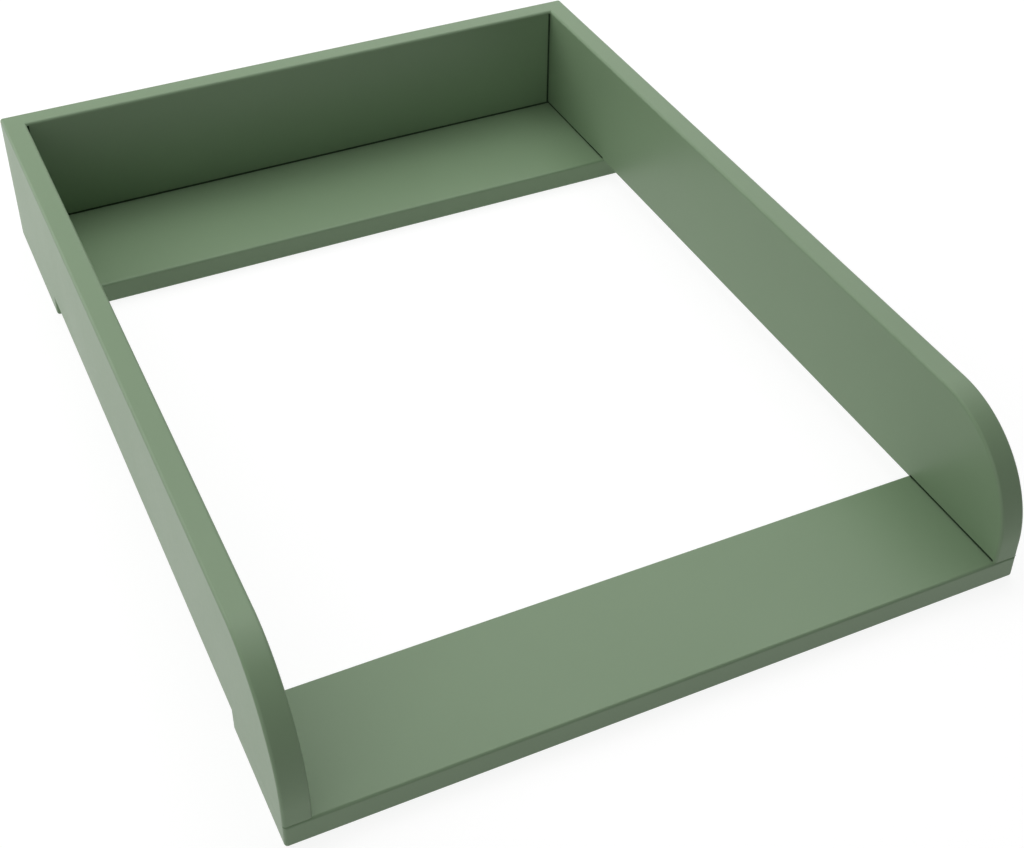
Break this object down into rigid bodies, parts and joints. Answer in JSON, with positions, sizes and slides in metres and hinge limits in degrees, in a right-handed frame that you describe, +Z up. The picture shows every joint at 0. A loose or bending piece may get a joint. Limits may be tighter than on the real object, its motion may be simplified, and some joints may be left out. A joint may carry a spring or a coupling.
{
  "type": "dresser top changer",
  "caption": "Open-fronted lacquered frame that holds a changing mat on top of a dresser, with boards that hang in front of and behind the dresser's top.",
  "frame": {"origin": "middle of the footprint, level with the underside of the front board and the rear board", "axes": "+X to the right as seen from the open front, +Y towards the back panel, +Z up"},
  "size_m": [0.54, 0.72, 0.1193],
  "materials": {
    "sage_lacquer": "satin",
    "zinc_plated_steel": "satin",
    "die_cast_zinc": "matte",
    "beech": "matte"
  },
  "bodies": {
    "root": {"left_side_panel": "sage_lacquer", "right_side_panel": "sage_lacquer", "back_panel": "sage_lacquer", "front_board": "sage_lacquer", "rear_board": "sage_lacquer", "front_left_screw_1": "zinc_plated_steel", "front_left_screw_2": "zinc_plated_steel", "front_right_screw_1": "zinc_plated_steel", "front_right_screw_2": "zinc_plated_steel", "rear_left_screw_1": "zinc_plated_steel", "rear_left_screw_2": "zinc_plated_steel", "rear_right_screw_1": "zinc_plated_steel", "rear_right_screw_2": "zinc_plated_steel", "back_left_screw": "zinc_plated_steel", "back_middle_screw": "zinc_plated_steel", "back_right_screw": "zinc_plated_steel", "front_left_dowel": "beech", "front_right_dowel": "beech", "rear_left_dowel": "beech", "rear_right_dowel": "beech", "back_left_dowel": "beech", "back_right_dowel": "beech", "corner_left_lower_dowel": "beech", "corner_left_upper_dowel": "beech", "corner_right_lower_dowel": "beech", "corner_right_upper_dowel": "beech", "cam_lock_left": "die_cast_zinc", "cam_lock_right": "die_cast_zinc", "cam_bolt_left": "zinc_plated_steel", "cam_bolt_right": "zinc_plated_steel"}
  },
  "joints": []
}
